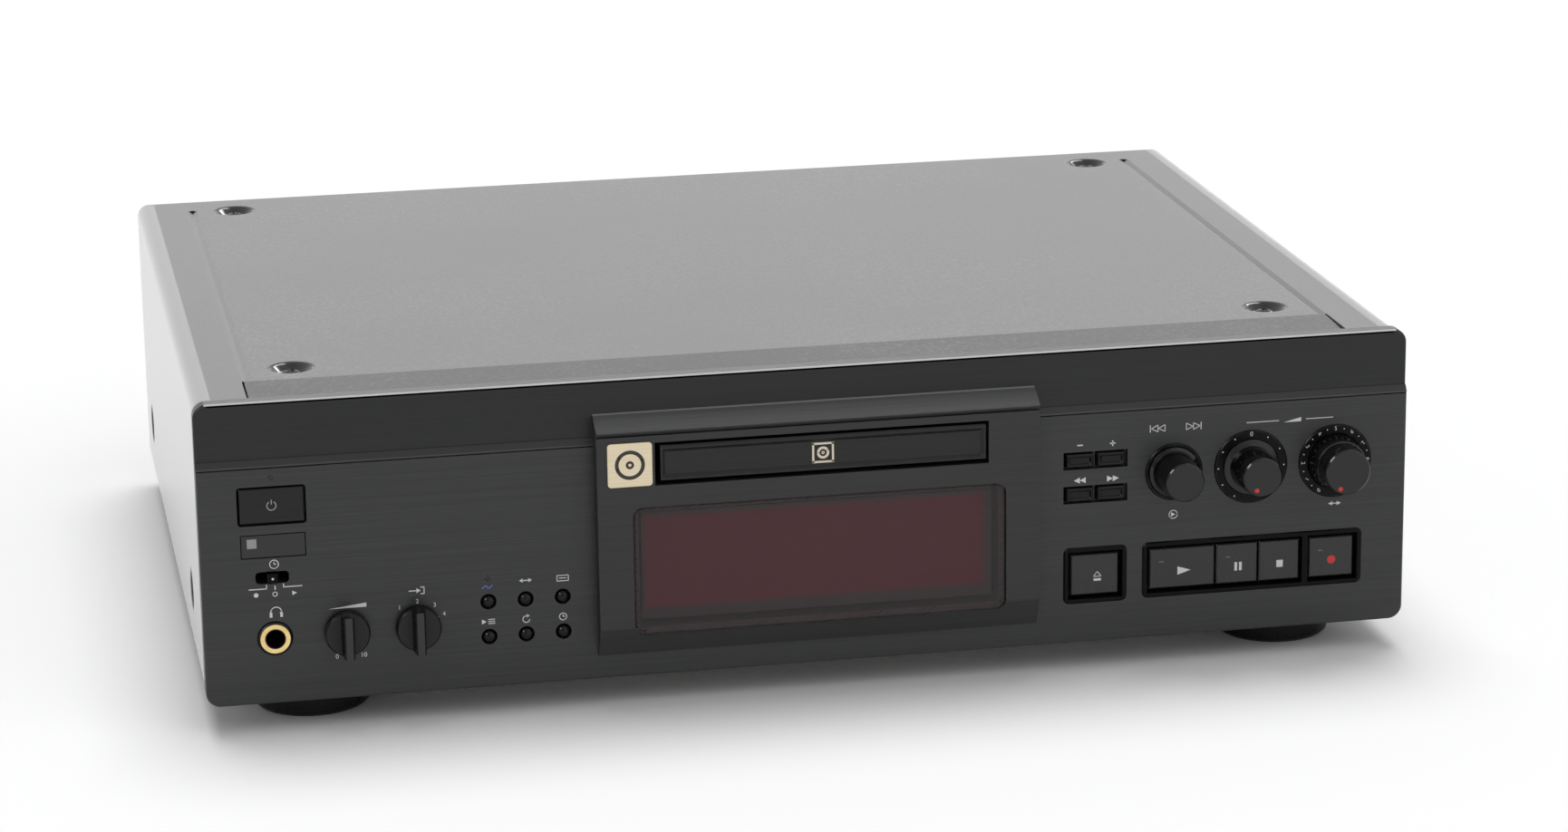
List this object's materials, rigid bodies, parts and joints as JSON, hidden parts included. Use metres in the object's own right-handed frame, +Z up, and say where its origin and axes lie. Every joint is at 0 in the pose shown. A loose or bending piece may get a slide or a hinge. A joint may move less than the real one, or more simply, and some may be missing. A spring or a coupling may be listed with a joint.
{
  "type": "minidisc deck",
  "caption": "Full-width disc recorder deck with a motor-driven tray, display block, level knobs, transport keys, folded steel cover and round feet.",
  "frame": {"origin": "centre of the footprint, on the surface that the deck stands on", "axes": "+X to the right of the fascia, +Y from the front to the rear, +Z up"},
  "size_m": [0.43, 0.3438, 0.118],
  "materials": {
    "steel_sheet": "satin black paint on steel sheet",
    "bare_steel": "plain zinc-coated steel",
    "fascia_metal": "black hairline-brushed anodised aluminium",
    "black_plastic": "satin black moulded plastic",
    "gloss_black": "polished black plastic",
    "smoked_window": "smoked red acrylic",
    "gold_plate": "pale gold plate",
    "gilt": "polished gilt",
    "knob_metal": "turned black anodised aluminium",
    "rubber_black": "black rubber",
    "circuit_board": "green circuit board",
    "chrome_metal": "nickel plate",
    "tube_glass": "dark display glass",
    "tray_plastic": "dark grey moulded plastic",
    "white_plastic": "natural acetal",
    "iron": "varnished iron core"
  },
  "bodies": {
    "deck": {"chassis_base": "bare_steel", "top_cover": "steel_sheet", "rear_panel": "steel_sheet", "feet": "rubber_black", "front_frame": "black_plastic", "lower_panel": "fascia_metal", "upper_band": "fascia_metal", "display_block": "fascia_metal", "display_window": "smoked_window", "display_tube": "tube_glass", "badge_plate": "gold_plate", "remote_window": "gloss_black", "button_surrounds": "black_plastic", "dial_rings": "black_plastic", "headphone_socket": "gilt", "front_boards": "circuit_board", "power_board": "circuit_board", "main_board": "circuit_board", "transformer": "iron", "phono_jacks": "gilt", "optical_sockets": "black_plastic", "mains_inlet": "black_plastic", "mechanism_frame": "black_plastic", "loading_motor": "chrome_metal", "drive_belt": "rubber_black"},
    "tray_body": {"tray": "tray_plastic", "tray_front": "fascia_metal"},
    "tray_gear_body": {"tray_gear": "white_plastic"},
    "pulley_gear_body": {"pulley_gear": "white_plastic"},
    "motor_pulley_body": {"motor_pulley": "white_plastic"},
    "drive_unit": {"drive_base": "bare_steel", "guide_rods": "chrome_metal", "spindle_motor": "chrome_metal"},
    "turntable_body": {"turntable": "tray_plastic"},
    "pickup_body": {"pickup_sled": "tray_plastic"},
    "power_body": {"power_button": "fascia_metal"},
    "timer_body": {"timer_knob": "black_plastic"},
    "phone_level_body": {"phone_level_knob": "knob_metal"},
    "input_body": {"input_knob": "knob_metal"},
    "jog_plunger": {"jog_shaft": "chrome_metal"},
    "jog_dial": {"jog_knob": "knob_metal"},
    "digital_level_body": {"digital_level_knob": "knob_metal"},
    "analog_front_body": {"analog_front_knob": "knob_metal"},
    "analog_rear_body": {"analog_rear_knob": "knob_metal"},
    "play_body": {"play_key": "gloss_black"},
    "pause_body": {"pause_key": "gloss_black"},
    "stop_body": {"stop_key": "gloss_black"},
    "record_body": {"record_key": "gloss_black"},
    "eject_body": {"eject_key": "gloss_black"},
    "round_1_body": {"round_button_1": "gloss_black"},
    "round_2_body": {"round_button_2": "gloss_black"},
    "round_3_body": {"round_button_3": "gloss_black"},
    "round_4_body": {"round_button_4": "gloss_black"},
    "round_5_body": {"round_button_5": "gloss_black"},
    "round_6_body": {"round_button_6": "gloss_black"},
    "pair_1_body": {"pair_button_1": "gloss_black"},
    "pair_2_body": {"pair_button_2": "gloss_black"},
    "pair_3_body": {"pair_button_3": "gloss_black"},
    "pair_4_body": {"pair_button_4": "gloss_black"}
  },
  "joints": [
    {"name": "tray_slide", "type": "slide", "parent": "deck", "child": "tray_body", "axis": [0, -1, 0], "range_m": [0, 0.08797]},
    {"name": "tray_gear_turn", "type": "hinge", "parent": "deck", "child": "tray_gear_body", "pos_m": [0.037, -0.1221, 0.0813], "axis": [0, 0, 1], "range_deg": [-725, 5]},
    {"name": "pulley_gear_turn", "type": "hinge", "parent": "deck", "child": "pulley_gear_body", "pos_m": [0.037, -0.1011, 0.0789], "axis": [0, 0, 1], "range_deg": [-5, 1805]},
    {"name": "motor_pulley_turn", "type": "hinge", "parent": "deck", "child": "motor_pulley_body", "pos_m": [0.046, -0.0681, 0.0721], "axis": [0, 0, 1], "range_deg": [-5, 6086.1]},
    {"name": "drive_lift", "type": "slide", "parent": "deck", "child": "drive_unit", "axis": [0, 0, 1], "range_m": [0, 0.005]},
    {"name": "turntable_spin", "type": "hinge", "parent": "drive_unit", "child": "turntable_body", "pos_m": [0, -0.1136, 0.0721], "axis": [0, 0, 1], "continuous": true},
    {"name": "pickup_slide", "type": "slide", "parent": "drive_unit", "child": "pickup_body", "axis": [0, 1, 0], "range_m": [0, 0.014]},
    {"name": "power_push", "type": "slide", "parent": "deck", "child": "power_body", "axis": [0, 1, 0], "range_m": [0, 0.003], "stiffness_N_per_m": 250},
    {"name": "timer_slide", "type": "slide", "parent": "deck", "child": "timer_body", "axis": [1, 0, 0], "range_m": [-0.0032, 0.0032]},
    {"name": "phone_level_turn", "type": "hinge", "parent": "deck", "child": "phone_level_body", "pos_m": [-0.1658, -0.1561, 0.0345], "axis": [0, 1, 0], "range_deg": [-150, 150]},
    {"name": "input_turn", "type": "hinge", "parent": "deck", "child": "input_body", "pos_m": [-0.1412, -0.1561, 0.0345], "axis": [0, 1, 0], "range_deg": [-30, 60]},
    {"name": "jog_push", "type": "slide", "parent": "deck", "child": "jog_plunger", "axis": [0, 1, 0], "range_m": [0, 0.0015], "stiffness_N_per_m": 400},
    {"name": "jog_turn", "type": "hinge", "parent": "jog_plunger", "child": "jog_dial", "pos_m": [0.1291, -0.1561, 0.0715], "axis": [0, 1, 0], "continuous": true},
    {"name": "digital_level_turn", "type": "hinge", "parent": "deck", "child": "digital_level_body", "pos_m": [0.1574, -0.1561, 0.0715], "axis": [0, 1, 0], "range_deg": [0, 300]},
    {"name": "analog_front_turn", "type": "hinge", "parent": "deck", "child": "analog_front_body", "pos_m": [0.1886, -0.1561, 0.0715], "axis": [0, 1, 0], "range_deg": [0, 300]},
    {"name": "analog_rear_turn", "type": "hinge", "parent": "deck", "child": "analog_rear_body", "pos_m": [0.1886, -0.1561, 0.0715], "axis": [0, 1, 0], "range_deg": [0, 300]},
    {"name": "play_push", "type": "slide", "parent": "deck", "child": "play_body", "axis": [0, 1, 0], "range_m": [0, 0.002], "stiffness_N_per_m": 250},
    {"name": "pause_push", "type": "slide", "parent": "deck", "child": "pause_body", "axis": [0, 1, 0], "range_m": [0, 0.002], "stiffness_N_per_m": 250},
    {"name": "stop_push", "type": "slide", "parent": "deck", "child": "stop_body", "axis": [0, 1, 0], "range_m": [0, 0.002], "stiffness_N_per_m": 250},
    {"name": "record_push", "type": "slide", "parent": "deck", "child": "record_body", "axis": [0, 1, 0], "range_m": [0, 0.002], "stiffness_N_per_m": 250},
    {"name": "eject_push", "type": "slide", "parent": "deck", "child": "eject_body", "axis": [0, 1, 0], "range_m": [0, 0.002], "stiffness_N_per_m": 250},
    {"name": "round_1_push", "type": "slide", "parent": "deck", "child": "round_1_body", "axis": [0, 1, 0], "range_m": [0, 0.002], "stiffness_N_per_m": 250},
    {"name": "round_2_push", "type": "slide", "parent": "deck", "child": "round_2_body", "axis": [0, 1, 0], "range_m": [0, 0.002], "stiffness_N_per_m": 250},
    {"name": "round_3_push", "type": "slide", "parent": "deck", "child": "round_3_body", "axis": [0, 1, 0], "range_m": [0, 0.002], "stiffness_N_per_m": 250},
    {"name": "round_4_push", "type": "slide", "parent": "deck", "child": "round_4_body", "axis": [0, 1, 0], "range_m": [0, 0.002], "stiffness_N_per_m": 250},
    {"name": "round_5_push", "type": "slide", "parent": "deck", "child": "round_5_body", "axis": [0, 1, 0], "range_m": [0, 0.002], "stiffness_N_per_m": 250},
    {"name": "round_6_push", "type": "slide", "parent": "deck", "child": "round_6_body", "axis": [0, 1, 0], "range_m": [0, 0.002], "stiffness_N_per_m": 250},
    {"name": "pair_1_push", "type": "slide", "parent": "deck", "child": "pair_1_body", "axis": [0, 1, 0], "range_m": [0, 0.002], "stiffness_N_per_m": 250},
    {"name": "pair_2_push", "type": "slide", "parent": "deck", "child": "pair_2_body", "axis": [0, 1, 0], "range_m": [0, 0.002], "stiffness_N_per_m": 250},
    {"name": "pair_3_push", "type": "slide", "parent": "deck", "child": "pair_3_body", "axis": [0, 1, 0], "range_m": [0, 0.002], "stiffness_N_per_m": 250},
    {"name": "pair_4_push", "type": "slide", "parent": "deck", "child": "pair_4_body", "axis": [0, 1, 0], "range_m": [0, 0.002], "stiffness_N_per_m": 250}
  ],
  "couplings": [
    {"joint": "tray_gear_turn", "follows": "tray_slide", "rad_per_m": -142.86},
    {"joint": "pulley_gear_turn", "follows": "tray_slide", "rad_per_m": 357.14},
    {"joint": "motor_pulley_turn", "follows": "tray_slide", "rad_per_m": 1206.6}
  ]
}
